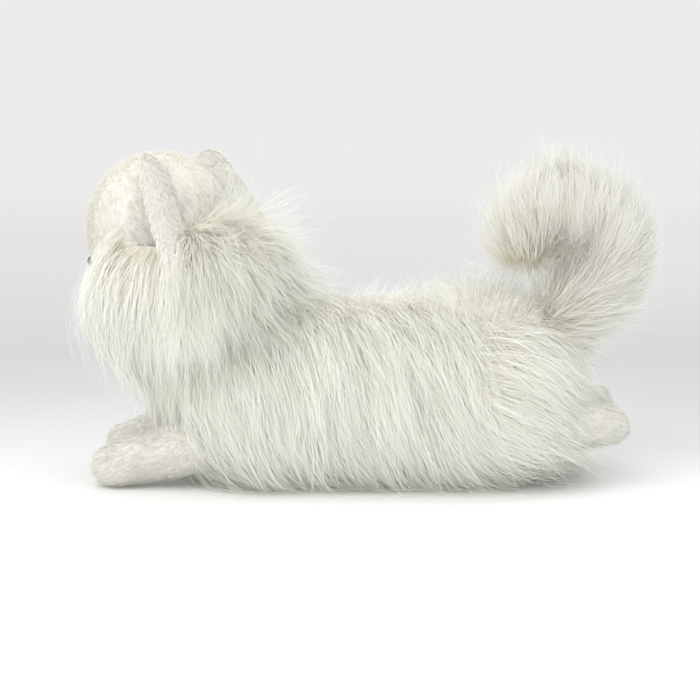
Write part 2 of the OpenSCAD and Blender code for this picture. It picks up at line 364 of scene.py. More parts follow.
def mesh_object(name: str, points: Array, faces: Array, material: bpy.types.Material) -> bpy.types.Object:
    """Makes a smooth-shaded object from points and faces.

    Args:
        name: The piece's name.
        points: Its points.
        faces: Its faces, all with the same number of corners.
        material: Its finish.

    Returns:
        The object, in the scene.
    """
    mesh = bpy.data.meshes.new(name)
    mesh.vertices.add(len(points))
    mesh.vertices.foreach_set("co", np.ascontiguousarray(points, np.float32).ravel())
    sides = faces.shape[1]
    mesh.loops.add(faces.size)
    mesh.loops.foreach_set("vertex_index", np.ascontiguousarray(faces, np.int32).ravel())
    mesh.polygons.add(len(faces))
    mesh.polygons.foreach_set("loop_start", np.arange(len(faces), dtype=np.int32) * sides)
    mesh.polygons.foreach_set("loop_total", np.full(len(faces), sides, np.int32))
    mesh.polygons.foreach_set("use_smooth", np.ones(len(faces), bool))
    mesh.update(calc_edges=True)
    mesh.validate()
    mesh.materials.append(material)
    obj = bpy.data.objects.new(name, mesh)
    bpy.context.scene.collection.objects.link(obj)
    return obj


def fitted(obj: bpy.types.Object, body: str, slot: str, *nodes: str) -> bpy.types.Object:
    """Sets what a piece rides on and the nodes that it stands for, and reports it.

    Args:
        obj: The piece.
        body: The body that it moves with.
        slot: The record's material slot; not used.
        nodes: CAD nodes that it replaces.

    Returns:
        The piece.
    """
    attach(obj, body)
    if nodes:
        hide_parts(*nodes)
    LOG.info("%s: %d faces, rides on %s", obj.name, len(obj.data.polygons), body)
    return obj


def cloth_object(name: str, shell: Shell, thickness: float,
                 material: bpy.types.Material) -> bpy.types.Object:
    """A sewn panel: a surface with the thickness of its cloth, inwards.

    Args:
        name: The piece's name.
        shell: Its outer surface.
        thickness: The cloth's thickness.
        material: Its finish.

    Returns:
        The piece.
    """
    obj = mesh_object(name, shell.points, shell.faces, material)
    solid = obj.modifiers.new("cloth", "SOLIDIFY")
    solid.thickness = thickness
    solid.offset = -1
    return obj


# ---------------------------------------------------------------- finishes


class NodeKit:
    """Builds one material's nodes with short calls."""

    def __init__(self, name: str) -> None:
        """Starts a material whose surface is one Principled shader.

        Args:
            name: The material's name.
        """
        self.material = bpy.data.materials.new(name)
        self.material.use_nodes = True
        self.tree = self.material.node_tree
        self.shader = self.tree.nodes["Principled BSDF"]

    def node(self, kind: str, **values: object) -> bpy.types.Node:
        """Adds a node and sets it up.

        Args:
            kind: The node's type.
            values: Its properties, or its inputs where a name isn't a property.

        Returns:
            The node.
        """
        made = self.tree.nodes.new(kind)
        for key, value in values.items():
            if hasattr(made, key):
                setattr(made, key, value)
            else:
                made.inputs[key.replace("_", " ")].default_value = value
        return made

    def link(self, source: bpy.types.NodeSocket, target: bpy.types.NodeSocket) -> None:
        """Joins two sockets."""
        self.tree.links.new(source, target)

    def plain(self, **values: object) -> None:
        """Sets values that are the same all over, on the shader's own sockets."""
        for key, value in values.items():
            self.shader.inputs[key.replace("_", " ")].default_value = value

    def noise(self, scale: float, detail: float = 3.0) -> bpy.types.Node:
        """Adds noise in the object's own space.

        Args:
            scale: How fine it is.
            detail: How many finer layers it has.

        Returns:
            The noise's node.
        """
        made = self.node("ShaderNodeTexNoise", Scale=scale, Detail=detail)
        self.link(self.node("ShaderNodeTexCoord").outputs["Object"], made.inputs["Vector"])
        return made

    def ramp(self, source: bpy.types.NodeSocket, *stops: tuple[float, Colour]) -> bpy.types.NodeSocket:
        """Turns a value into colours.

        Args:
            source: The value.
            stops: Places from 0 to 1, each with its colour.

        Returns:
            The colour socket.
        """
        made = self.node("ShaderNodeValToRGB")
        elements = made.color_ramp.elements
        while len(elements) < len(stops):
            elements.new(0.5)
        for element, (place, colour) in zip(elements, stops, strict=True):
            element.position = place
            element.color = (*colour, 1)
        self.link(source, made.inputs["Fac"])
        return made.outputs["Color"]

    def mix(self, kind: str, amount: float, a: bpy.types.NodeSocket,
            b: bpy.types.NodeSocket) -> bpy.types.NodeSocket:
        """Mixes two colours.

        Args:
            kind: How they mix, such as MULTIPLY.
            amount: How much, from 0 to 1.
            a: The first colour.
            b: The second colour.

        Returns:
            The colour socket.
        """
        made = self.node("ShaderNodeMix", data_type="RGBA", blend_type=kind)
        made.inputs["Factor"].default_value = amount
        self.link(a, made.inputs["A"])
        self.link(b, made.inputs["B"])
        return made.outputs["Result"]

    def bump(self, source: bpy.types.NodeSocket, depth: float, strength: float = 1.0) -> None:
        """Raises the surface by a value.

        Args:
            source: The value.
            depth: How deep the relief is.
            strength: How strongly it shows.
        """
        made = self.node("ShaderNodeBump", Distance=depth, Strength=strength)
        self.link(source, made.inputs["Height"])
        self.link(made.outputs["Normal"], self.shader.inputs["Normal"])


@dataclass(frozen=True)
class PileFinish:
    """Strands of faux fur: warm at the root, pale at the tip, and darker where they lie in the shade."""

    name: str
    root: Colour = (0.90, 0.875, 0.78)
    tip: Colour = (0.955, 0.955, 0.90)
    shade: float = 0.05
    shaded: float = 0.55
    roughness: float = 0.55

    def material(self) -> bpy.types.Material:
        """Builds the material.

        Returns:
            The material.
        """
        kit = NodeKit(self.name)
        along = kit.node("ShaderNodeAttribute", attribute_name="along")
        colour = kit.ramp(along.outputs["Fac"], (0.0, self.root), (0.45, self.tip), (1.0, self.tip))
        each = kit.node("ShaderNodeAttribute", attribute_name="strand")
        low, half = self.shaded, 1 - self.shade
        tint = kit.ramp(each.outputs["Fac"], (0.0, (low, low * 0.985, low * 0.92)),
                        (0.5, (half, half, half * 0.985)), (1.0, (1.0, 1.0, 1.0)))
        kit.link(kit.mix("MULTIPLY", 1.0, colour, tint), kit.shader.inputs["Base Color"])
        kit.plain(Roughness=self.roughness, Specular_IOR_Level=0.35, Sheen_Weight=0.25, Sheen_Roughness=0.4)
        return kit.material


@dataclass(frozen=True)
class ClothFinish:
    """Knitted backing or short plush: fine mottled pile with a soft nap."""

    name: str
    light: Colour = (0.95, 0.945, 0.90)
    dark: Colour = (0.90, 0.885, 0.82)
    grain: float = 900.0
    depth: float = 0.0006

    def material(self) -> bpy.types.Material:
        """Builds the material.

        Returns:
            The material.
        """
        kit = NodeKit(self.name)
        fine = kit.noise(self.grain, 4)
        broad = kit.noise(45, 2)
        nap = kit.ramp(fine.outputs["Fac"], (0.3, self.dark), (0.6, self.light))
        wear = kit.ramp(broad.outputs["Fac"], (0.3, (0.94, 0.93, 0.90)), (0.7, (1.0, 1.0, 1.0)))
        kit.link(kit.mix("MULTIPLY", 1.0, nap, wear), kit.shader.inputs["Base Color"])
        kit.bump(fine.outputs["Fac"], self.depth)
        kit.plain(Roughness=0.9, Specular_IOR_Level=0.2, Sheen_Weight=0.4, Sheen_Roughness=0.5)
        return kit.material


@dataclass(frozen=True)
class FibreFillFinish:
    """White polyester fill: fine crossing fibres in soft lumps."""

    name: str = "fibre_fill"

    def material(self) -> bpy.types.Material:
        """Builds the material.

        Returns:
            The material.
        """
        kit = NodeKit(self.name)
        fibres = kit.noise(260, 8)
        fibres.inputs["Distortion"].default_value = 1.6
        shade = kit.ramp(fibres.outputs["Fac"], (0.35, (0.78, 0.79, 0.80)), (0.62, (0.95, 0.95, 0.95)))
        kit.link(shade, kit.shader.inputs["Base Color"])
        kit.bump(fibres.outputs["Fac"], 0.003)
        kit.plain(Roughness=0.95)
        return kit.material


@dataclass(frozen=True)
class PlasticFinish:
    """Moulded plastic: glossy black for eyes and nose, cloudy white for washers."""

    name: str
    colour: Colour
    roughness: float
    coat: float = 0.0
    grain: float = 0.0

    def material(self) -> bpy.types.Material:
        """Builds the material.

        Returns:
            The material.
        """
        kit = NodeKit(self.name)
        haze = kit.noise(350, 3)
        dark = tuple(c * 0.82 for c in self.colour)
        shade = kit.ramp(haze.outputs["Fac"], (0.35, dark), (0.65, self.colour))
        kit.link(shade, kit.shader.inputs["Base Color"])
        rough = kit.node("ShaderNodeMapRange")
        kit.link(haze.outputs["Fac"], rough.inputs["Value"])
        rough.inputs["To Min"].default_value = self.roughness * 0.8
        rough.inputs["To Max"].default_value = self.roughness * 1.25
        kit.link(rough.outputs["Result"], kit.shader.inputs["Roughness"])
        if self.grain:
            kit.bump(kit.noise(self.grain, 2).outputs["Fac"], 0.0004)
        kit.plain(Coat_Weight=self.coat, Coat_Roughness=0.04)
        return kit.material


@dataclass(frozen=True)
class ThreadFinish:
    """Twisted embroidery thread."""

    name: str = "dark_thread"
    colour: Colour = (0.05, 0.042, 0.038)

    def material(self) -> bpy.types.Material:
        """Builds the material.

        Returns:
            The material.
        """
        kit = NodeKit(self.name)
        wave = kit.node("ShaderNodeTexWave", Scale=900.0, Distortion=1.5, bands_direction="DIAGONAL")
        kit.link(kit.node("ShaderNodeTexCoord").outputs["Object"], wave.inputs["Vector"])
        pale = tuple(min(1.0, c * 2.4) for c in self.colour)
        shade = kit.ramp(wave.outputs["Fac"], (0.2, self.colour), (0.9, pale))
        kit.link(shade, kit.shader.inputs["Base Color"])
        kit.bump(wave.outputs["Fac"], 0.0003)
        kit.plain(Roughness=0.6)
        return kit.material


@dataclass(frozen=True)
class StudioFinish:
    """Seamless pale paper with painted light: white in front of the toy, grey round it, pale again to its
    far end.
    """

    name: str = "studio_paper"
    centre: float = 0.35
    reach: float = 6.0
    # Painted light: the paper's brightness by distance from the pool's middle, a painted pool of light near
    # the toy fading to grey, then pale again far off.
    tones: tuple[tuple[float, float], ...] = (
        (0.30, 0.95), (0.40, 0.83), (0.50, 0.72), (0.60, 0.65), (0.70, 0.60), (0.90, 0.565), (1.20, 0.62),
        (1.45, 0.67), (1.80, 0.72), (2.40, 0.80), (3.20, 0.92), (4.5, 0.97), (6.0, 0.995))

    def material(self) -> bpy.types.Material:
        """Builds the material.

        Returns:
            The material.
        """
        kit = NodeKit(self.name)
        coord = kit.node("ShaderNodeTexCoord")
        moved = kit.node("ShaderNodeMapping")
        moved.inputs["Location"].default_value = (0, self.centre, 0)
        moved.inputs["Scale"].default_value = (0.8, 1, 1)
        kit.link(coord.outputs["Object"], moved.inputs["Vector"])
        size = kit.node("ShaderNodeVectorMath", operation="LENGTH")
        kit.link(moved.outputs["Vector"], size.inputs[0])
        span = kit.node("ShaderNodeMapRange")
        kit.link(size.outputs["Value"], span.inputs["Value"])
        span.inputs["From Max"].default_value = self.reach
        stops = [(far / self.reach, (tone, tone, tone * 1.004)) for far, tone in self.tones]
        kit.link(kit.ramp(span.outputs["Result"], *stops), kit.shader.inputs["Base Color"])
        kit.plain(Roughness=0.9, Specular_IOR_Level=0.1)
        return kit.material


# ---------------------------------------------------------------- pile


class Form:
    """A body's rough shape, as round bars, which strands lie over."""

    def __init__(self, *bars: tuple[Vec, Vec, float, float]) -> None:
        """Keeps the bars.

        Args:
            bars: Each bar's two ends and its radius at each.
        """
        self.a = np.array([b[0] for b in bars], float)
        self.ab = np.array([b[1] for b in bars], float) - self.a
        self.ra = np.array([b[2] for b in bars], float)
        self.rb = np.array([b[3] for b in bars], float)
        self.size = np.maximum((self.ab ** 2).sum(axis=1), TINY)

    def joined(self, other: Form) -> Form:
        """Puts two shapes together.

        Args:
            other: The other shape.

        Returns:
            The shape of both.
        """
        out = Form.__new__(Form)
        for key in ("a", "ab", "ra", "rb", "size"):
            setattr(out, key, np.concatenate([getattr(self, key), getattr(other, key)]))
        return out

    def reach(self, p: Array) -> tuple[Array, Array]:
        """Measures points against the shape.

        Args:
            p: Points, one a row.

        Returns:
            Each point's height over the shape, and the way straight out of it.
        """
        v = p[:, None] - self.a
        t = np.clip((v * self.ab).sum(axis=2) / self.size, 0, 1)
        v -= t[..., None] * self.ab
        far = np.linalg.norm(v, axis=2)
        height = far - (self.ra + (self.rb - self.ra) * t)
        k = height.argmin(axis=1)
        rows = np.arange(len(p))
        return height[rows, k], v[rows, k] / np.maximum(far[rows, k], 1e-9)[:, None]


@dataclass(frozen=True)
class Pile:
    """How one kind of pile grows: sizes in metres, shares from 0 to 1.

    Strands reach between low and all of depth over the body, sooner with a larger rise. They stand up by
    lift and fall by droop. Locks are a lock apart, as tight as gather. Stray is the share of loose strands,
    vary how uneven the lengths are, sway how much strands wander, and bend how fast they follow the combing.
    """

    length: float
    depth: float
    lift: float = 0.35
    droop: float = 0.25
    lock: float = 0.005
    gather: float = 0.85
    width: float = 0.00032
    steps: int = 6
    stray: float = 0.06
    vary: float = 0.18
    wave: float = 0.0012
    bend: float = 0.45
    low: float = 0.12
    sway: float = 0.10
    rise: float = 2.2


@dataclass
class Strands:
    """The middle lines of a patch of pile, and the way out of the cloth at each root."""

    lines: Array
    outs: Array
    shades: Array
    pile: Pile

    def part(self, keep: Array) -> Strands:
        """The strands picked by a mask."""
        return Strands(self.lines[keep], self.outs[keep], self.shades[keep], self.pile)


@dataclass(frozen=True)
class Room:
    """The box that the toy's pile stays inside."""

    low: Array
    high: Array

    @classmethod
    def round_frame(cls) -> Room:
        """The frame's box with the little that fur may stand proud of it.

        Returns:
            The room.
        """
        low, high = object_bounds()
        size = np.array(high) - np.array(low)
        spare = size * 0.012 + 0.0035
        sideways = np.array([1, 1, 0])
        return cls(np.array(low) - spare * sideways, np.array(high) + spare)

    def held(self, lines: Array) -> Array:
        """Draws strands back towards their roots until they fit.

        Args:
            lines: The strands' middle lines.

        Returns:
            The lines, inside the box.
        """
        root = lines[:, :1]
        step = lines - root
        with np.errstate(divide="ignore", invalid="ignore"):
            over = np.where(lines > self.high, (self.high - root) / step, 1.0)
            under = np.where(lines < self.low, (self.low - root) / step, 1.0)
        share = np.clip(np.minimum(over, under).min(axis=(1, 2)), 0.1, 1.0)
        return root + step * share[:, None, None]


@dataclass
class Groomer:
    """Grows pile on cloth: roots, combing, locks and loose ends."""

    room: Room
    rng: np.random.Generator
    floor: float = 0.0008
    wave_length: float = 0.013 / 1.6
    length_limits: tuple[float, float] = (0.45, 1.5)
    stray_length: float = 1.12
    stray_height: float = 1.25
    root_lift: float = 0.004
    shaded: tuple[float, float] = (0.3, 0.5)
    form: Form | None = None

    def roots(self, shell: Shell, count: int, weight: Comb | None) -> tuple[Array, Array]:
        """Scatters roots over a cloth.

        Args:
            shell: The cloth.
            count: How many strands.
            weight: Where they stand thicker, or None for evenly.

        Returns:
            The roots, and the way out of the cloth at each.
        """
        tris = shell.tris
        corners, normals = shell.corners()
        odds = np.linalg.norm(normals, axis=1)
        if weight is not None:
            odds = odds * weight(corners.mean(axis=1))
        pick = self.rng.choice(len(tris), count, p=odds / odds.sum())
        u = self.rng.random((count, 2))
        u = np.where(u.sum(axis=1, keepdims=True) > 1, 1 - u, u)
        share = np.column_stack([1 - u.sum(axis=1), u])[..., None]
        smooth = smooth_normals(shell)
        return (corners[pick] * share).sum(axis=1), unit((smooth[tris[pick]] * share).sum(axis=1))

    def grow(self, shell: Shell, count: int, pile: Pile, comb: Comb,
             weight: Comb | None = None, dark: Comb | None = None) -> Strands:
        """Grows a patch of pile.

        Args:
            shell: The cloth that it stands on.
            count: How many strands.
            pile: How they grow.
            comb: The way that the pile is combed at a point.
            weight: Where they stand thicker, or None for evenly.
            dark: How much darker than the rest they are painted at a root, as painted shade, from 0 to 1, or
                None for not at all.

        Returns:
            The strands.
        """
        rng = self.rng
        root, out = self.roots(shell, count, weight)
        stray = rng.random(count) < pile.stray
        length = pile.length * np.clip(rng.normal(1, pile.vary, count), *self.length_limits)
        length = length * np.where(stray, self.stray_length, 1)
        height = pile.depth * (pile.low + (1 - pile.low) * rng.random(count) ** 0.8)
        height = height * np.where(stray, self.stray_height, 1)
        stand = np.clip(pile.lift + rng.normal(0, 0.10, count) + stray * 0.25, 0.05, 1.3)[:, None]
        flow = self.combed(comb, root, out)
        heading = unit(out * stand + flow * (1 - np.minimum(stand, 1)) + rng.normal(0, 0.10, (count, 3)))
        lines = [root]
        p = root
        sway = rng.normal(0, pile.sway, (count, 3))
        for step in range(1, pile.steps + 1):
            t = step / pile.steps
            p = p + heading * (length / pile.steps)[:, None]
            gap, away = self.form.reach(p) if self.form else (np.full(count, pile.depth), out)
            want = height * min(1.0, pile.rise * t)
            p = p + away * np.maximum(0, want - gap)[:, None]
            spare = np.maximum(0, gap - height * 1.15)[:, None]
            p = p - away * spare * np.where(stray, 0.15, 0.5)[:, None] * (1 - min(pile.lift, 1))
            p[:, 2] = np.maximum(p[:, 2], self.floor + self.root_lift * rng.random(count) * (1 - t))
            lines.append(p)
            flow = self.combed(comb, p, away)
            pull = flow * (1 - stand * 0.6) - UP * pile.droop * t + sway
            heading = unit(heading * (1 - pile.bend) + pull * pile.bend)
        made = np.stack(lines, axis=1)
        made = self.waved(made, out, pile, length)
        made = self.locked(made, pile, stray)
        made[..., 2] = np.maximum(made[..., 2], self.floor)
        darkness = dark(root) if dark else 0.0
        # Tone differs at random from strand to strand; painted shade then darkens the strands that dark
        # marks as lying in the shade.
        shade = rng.uniform(0.5, 1.0, count) - darkness * rng.uniform(*self.shaded, count)
        return Strands(self.room.held(made), out, shade, pile)

    def combed(self, comb: Comb, p: Array, out: Array) -> Array:
        """Lays the combing flat on the surface.

        Args:
            comb: The combing.
            p: Where to read it.
            out: The way out of the surface at each point.

        Returns:
            Unit directions along the surface.
        """
        flow = comb(p)
        flow = flow - out * (flow * out).sum(axis=1, keepdims=True)
        return unit(flow + 1e-6)

    def waved(self, lines: Array, out: Array, pile: Pile, length: Array) -> Array:
        """Gives strands a slight wave that neighbours share.

        Args:
            lines: The strands' middle lines.
            out: The way out of the cloth at each root.
            pile: How they grow.
            length: Each strand's length.

        Returns:
            The waved lines.
        """
        t = np.linspace(0, 1, lines.shape[1])[None]
        ahead = unit(lines[:, -1] - lines[:, 0])
        across = unit(np.cross(ahead, out) + 1e-6)
        shared = ripple(lines[:, 0], pile.lock * 7, 11)[:, None] * 3
        phase = shared + self.rng.normal(0, 0.35, (len(lines), 1))
        swing = np.sin(phase + t * length[:, None] / self.wave_length) * t * pile.wave
        return lines + across[:, None] * swing[..., None]

    def locked(self, lines: Array, pile: Pile, stray: Array) -> Array:
        """Gathers strands into broad locks, and those into narrow pointed ones.

        Args:
            lines: The strands' middle lines.
            pile: How they grow.
            stray: True for each loose strand.

        Returns:
            The gathered lines.
        """
        for spacing, gather in ((pile.lock * 3.2, pile.gather * 0.5), (pile.lock, pile.gather)):
            lines = self.gathered(lines, spacing, gather, stray, 1.6)
        return lines

    def gathered(self, lines: Array, spacing: float, gather: float, stray: Array, power: float) -> Array:
        """Draws strands towards the leader nearest to each root.

        Args:
            lines: The strands' middle lines.
            spacing: How far apart leaders stand.
            gather: How close strands come to them at their tips.
            stray: True for each loose strand.
            power: How late along its length a strand is drawn in.

        Returns:
            The gathered lines.
        """
        if gather <= 0:
            return lines
        roots = lines[:, 0]
        order = self.rng.permutation(len(roots))
        cells = np.floor(roots[order] / spacing).astype(np.int64)
        _, first = np.unique(cells, axis=0, return_index=True)
        leaders = order[first]
        tree = KDTree(len(leaders))
        for i, k in enumerate(leaders):
            tree.insert(roots[k], i)
        tree.balance()
        jitter = roots + self.rng.normal(0, spacing * 0.16, roots.shape)
        near = leaders[np.array([tree.find(q)[1] for q in jitter])]
        t = np.linspace(0, 1, lines.shape[1])[None, :, None]
        own = gather * np.where(stray, 0.25, self.rng.uniform(0.75, 1.0, len(roots)))[:, None, None]
        pull = own * t ** power
        return lines * (1 - pull) + lines[near] * pull

    def ribbons(self, name: str, strands: Strands, material: bpy.types.Material) -> bpy.types.Object:
        """Makes one object of narrow ribbons, one for each strand.

        Args:
            name: The piece's name.
            strands: Their middle lines.
            material: Their finish.

        Returns:
            The object, with the length along each strand and each strand's shade on its points: its random
            tone, less any painted shade.
        """
        lines, pile = strands.lines, strands.pile
        count, rings, _ = lines.shape
        ahead = unit(np.gradient(lines, axis=1))
        side = unit(np.cross(ahead, strands.outs[:, None]) + 1e-7)
        t = np.linspace(0, 1, rings)
        twist = self.rng.normal(0, 0.32, (count, 1)) + self.rng.normal(0, 0.3, (count, 1)) * t
        side = turned(side, ahead, twist)
        taper = np.minimum(1, 1.25 * (1 - t) ** 0.8 + 0.12)
        wide = pile.width * self.rng.uniform(0.7, 1.3, (count, 1)) * taper
        half = side * wide[..., None] / 2
        points = np.stack([lines - half, lines + half], axis=2).reshape(-1, 3)
        start = (np.arange(count) * rings * 2)[:, None] + np.arange(rings - 1) * 2
        faces = np.stack([start, start + 1, start + 3, start + 2], axis=-1).reshape(-1, 4)
        obj = mesh_object(name, points, faces, material)
        along = np.broadcast_to(t[None, :, None], (count, rings, 2)).ravel()
        shade = np.broadcast_to(strands.shades[:, None, None], (count, rings, 2)).ravel()
        for key, values in (("along", along), ("strand", shade)):
            layer = obj.data.attributes.new(key, "FLOAT", "POINT")
            layer.data.foreach_set("value", np.ascontiguousarray(values, np.float32))
        return obj


# ---------------------------------------------------------------- the whole toy's shared things


@dataclass
class Kit:
    """What every sub-assembly works with: the frame, the head's axes, the groomer and the finishes."""

    frame: dict
    head: HeadFrame
    groomer: Groomer
    form: Form
    long_fur: bpy.types.Material
    short_pile: bpy.types.Material
    tail_fur: bpy.types.Material
    ear_pile: bpy.types.Material
    leg_pile: bpy.types.Material
    backing: bpy.types.Material
    plush: bpy.types.Material
    fill: bpy.types.Material
    black: bpy.types.Material
    clear: bpy.types.Material
    thread: bpy.types.Material
    cloth: float = 0.0011
    inset: float = 0.0005

    def stuffing(self, node: str, body: str, shell: Shell, seed: int) -> bpy.types.Object:
        """A lumpy body of fibre fill in place of a CAD stuffing.

        Args:
            node: The stuffing's node.
            body: The body that it rides on.
            shell: Its smooth shape.
            seed: Picks its lumps.

        Returns:
            The piece.
        """
        lumpy = swelled(swelled(shell, -0.0012, 0.03, seed), -0.0006, 0.009, seed + 1)
        obj = mesh_object(f"{node}_fill", lumpy.points, lumpy.faces, self.fill)
        return fitted(obj, body, "fibre_fill", node)

    def cover(self, name: str, node: str, body: str, shell: Shell, slot: str,
              material: bpy.types.Material) -> bpy.types.Object:
        """A sewn cloth cover in place of a CAD one, padded from inside.

        Args:
            name: The piece's name.
            node: The node that it stands for.
            body: The body that it rides on.
            shell: Its shape.
            slot: Its material slot.
            material: Its finish.

        Returns:
            The piece.
        """
        obj = cloth_object(name, shell, self.cloth, material)
        return fitted(obj, body, slot, node)

    def pile(self, name: str, body: str, strands: Strands, slot: str, material: bpy.types.Material) -> None:
        """Makes a patch of pile that rides on a body."""
        fitted(self.groomer.ribbons(name, strands, material), body, slot)


# ---------------------------------------------------------------- torso


@dataclass
class Torso:
    """The barrel of the body: stuffing, two long-haired sides, a flat belly and a strip down the chest."""

    kit: Kit
    middle: float = 0.010
    height: float = 0.060
    fill_radius: float = 0.055
    straight: float = 0.160
    skin: float = 0.0015
    belly_height: float = 0.0022
    belly_edge: float = 0.0045
    long: Pile = Pile(length=0.058, depth=0.0215, lift=0.27, droop=0.32, lock=0.0052, gather=0.56,
                      width=0.00027, steps=6, wave=0.0020, sway=0.16, stray=0.10, vary=0.30)
    tuft: Pile = Pile(length=0.034, depth=0.026, lift=0.62, droop=0.0, lock=0.0042, gather=0.35, stray=0.3,
                      width=0.00024, bend=0.22, steps=5, sway=0.22)
    crest: Pile = Pile(length=0.040, depth=0.0265, lift=0.50, droop=0.30, lock=0.0045, gather=0.5,
                       stray=0.12, width=0.00025, steps=5, sway=0.18)
    fall: Pile = Pile(length=0.066, depth=0.036, lift=0.42, droop=0.22, lock=0.0052, gather=0.55,
                      stray=0.12, width=0.00027, steps=6, wave=0.0020, sway=0.16, vary=0.22, bend=0.35)
    strands: int = 60000
    tufts: int = 5000
    crests: int = 7000
    falls: int = 9000

    def barrel(self, radius: float) -> Shell:
        """The whole barrel's surface, cut flat under the belly.

        Args:
            radius: The barrel's radius.

        Returns:
            The surface.
        """
        half = self.straight / 2
        a = (self.middle - half, 0, self.height)
        b = (self.middle + half, 0, self.height)
        shell = bar(a, b, radius, radius, rings=26, sides=64)
        shell.points[:, 2] = np.maximum(shell.points[:, 2], self.belly_height)
        return shell

    def comb(self, p: Array) -> Array:
        """From the parting along the spine down each flank, leaning back towards the rump.

        Args:
            p: Where to read it.

        Returns:
            The directions.
        """
        back = 0.36 + 1.1 * ease(p[:, 0], 0.05, 0.15) - 0.2 * ease(-p[:, 0], 0.05, 0.12)
        back = back + 0.22 * ripple(p * np.array([1, 1, 0.4]), 0.05, 9)
        return np.column_stack([back, 0.95 * np.tanh(p[:, 1] / 0.012), np.full(len(p), -1.0)])

    def up_comb(self, p: Array) -> Array:
        """Tousled, up over the rump and forward at its front."""
        lean = ripple(p, 0.03, 5) - 0.9 * ease(-p[:, 0], -0.105, -0.075)
        return np.column_stack([0.25 + 0.6 * lean, 0.6 * ripple(p, 0.025, 6), np.full(len(p), 0.8)])

    def crest_comb(self, p: Array) -> Array:
        """Either way from the parting, and back."""
        side = 0.9 * np.tanh(p[:, 1] / 0.010) + 0.35 * ripple(p, 0.02, 7)
        return np.column_stack([np.full(len(p), 0.45), side, np.full(len(p), -0.1)])

    def fall_comb(self, p: Array) -> Array:
        """Back and down from the rump over the hind legs."""
        return np.column_stack([np.full(len(p), 1.5), 0.45 * np.tanh(p[:, 1] / 0.02),
                                -0.62 + 0.2 * ripple(p, 0.04, 8)])

    def build(self) -> None:
        """Makes the torso's pieces."""
        kit = self.kit
        kit.stuffing("torso_stuffing", "torso", self.barrel(self.fill_radius - kit.inset), 21)
        whole = self.barrel(self.fill_radius + self.skin)
        belly = whole.kept(lambda m: m[:, 2] < self.belly_edge)
        chest_x, chest_y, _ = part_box("chest_panel")[1]

        def on_chest(m: Array) -> Array:
            """True where a face is on the strip down the chest."""
            return (m[:, 0] < chest_x) & (abs(m[:, 1]) < chest_y) & (m[:, 2] >= self.belly_edge)
        kit.cover("chest_panel_cloth", "chest_panel", "torso", whole.kept(on_chest), "long_fur", kit.backing)
        kit.cover("belly_panel_cloth", "belly_panel", "torso", belly, "short_fur", kit.plush)
        for side in Side:
            def on_side(m: Array, side: Side = side) -> Array:
                """True where a face is on this side's panel."""
                return (m[:, 1] * side.value >= 0) & (m[:, 2] >= self.belly_edge) & ~on_chest(m)
            kit.cover(f"torso_{side.word}_panel_cloth", f"torso_{side.word}_panel", "torso",
                      whole.kept(on_side), "long_fur", kit.backing)
        self.grow(whole)

    def grow(self, whole: Shell) -> None:
        """Grows the coat: four patches of long fur, and the fur of the rump and the spine.

        Args:
            whole: The barrel's cloth.
        """
        kit = self.kit
        kit.groomer.form = kit.form

        def thick(m: Array) -> Array:
            """Where the coat stands: not under the belly, and thinner under the ruff."""
            return ((m[:, 2] > 0.012) | (abs(m[:, 1]) > 0.035)) * (0.45 + 0.55 * ease(m[:, 0], -0.15, -0.09))

        def hem(m: Array) -> Array:
            """The under-coat near the floor lies in the shade of the locks over it."""
            return 1 - ease(m[:, 2], 0.034, 0.072)
        coat = kit.groomer.grow(whole, self.strands, self.long, self.comb, thick, hem)
        root = coat.lines[:, 0]
        for side in Side:
            for word, front in (("front", True), ("rear", False)):
                keep = (root[:, 1] * side.value >= 0) & ((root[:, 0] < self.middle) == front)
                kit.pile(f"torso_{side.word}_{word}_fur", "torso", coat.part(keep), "long_fur", kit.long_fur)

        def on_rump(m: Array) -> Array:
            """Where the tousled fur in front of the tail stands."""
            return ease(m[:, 0], 0.045, 0.100) * ease(-m[:, 0], -0.150, -0.120) * ease(m[:, 2], 0.096, 0.110)

        def on_spine(m: Array) -> Array:
            """Where the coat stands up along the parting."""
            between = ease(m[:, 0], -0.095, -0.060) * ease(-m[:, 0], -0.110, -0.060)
            return between * ease(m[:, 2], 0.106, 0.113)

        def on_end(m: Array) -> Array:
            """Where long fur falls from the rump over the hind legs."""
            between = ease(m[:, 2], 0.030, 0.050) * (1 - ease(m[:, 2], 0.108, 0.116))
            return ease(m[:, 0], 0.070, 0.110) * between

        for word, count, pile, comb, place in (
                ("rump_tufts", self.tufts, self.tuft, self.up_comb, on_rump),
                ("crest_fur", self.crests, self.crest, self.crest_comb, on_spine),
                ("rump_fur", self.falls, self.fall, self.fall_comb, on_end)):
            grown = kit.groomer.grow(whole, count, pile, comb, place)
            kit.pile(f"torso_{word}", "torso", grown, "long_fur", kit.long_fur)


# ---------------------------------------------------------------- head


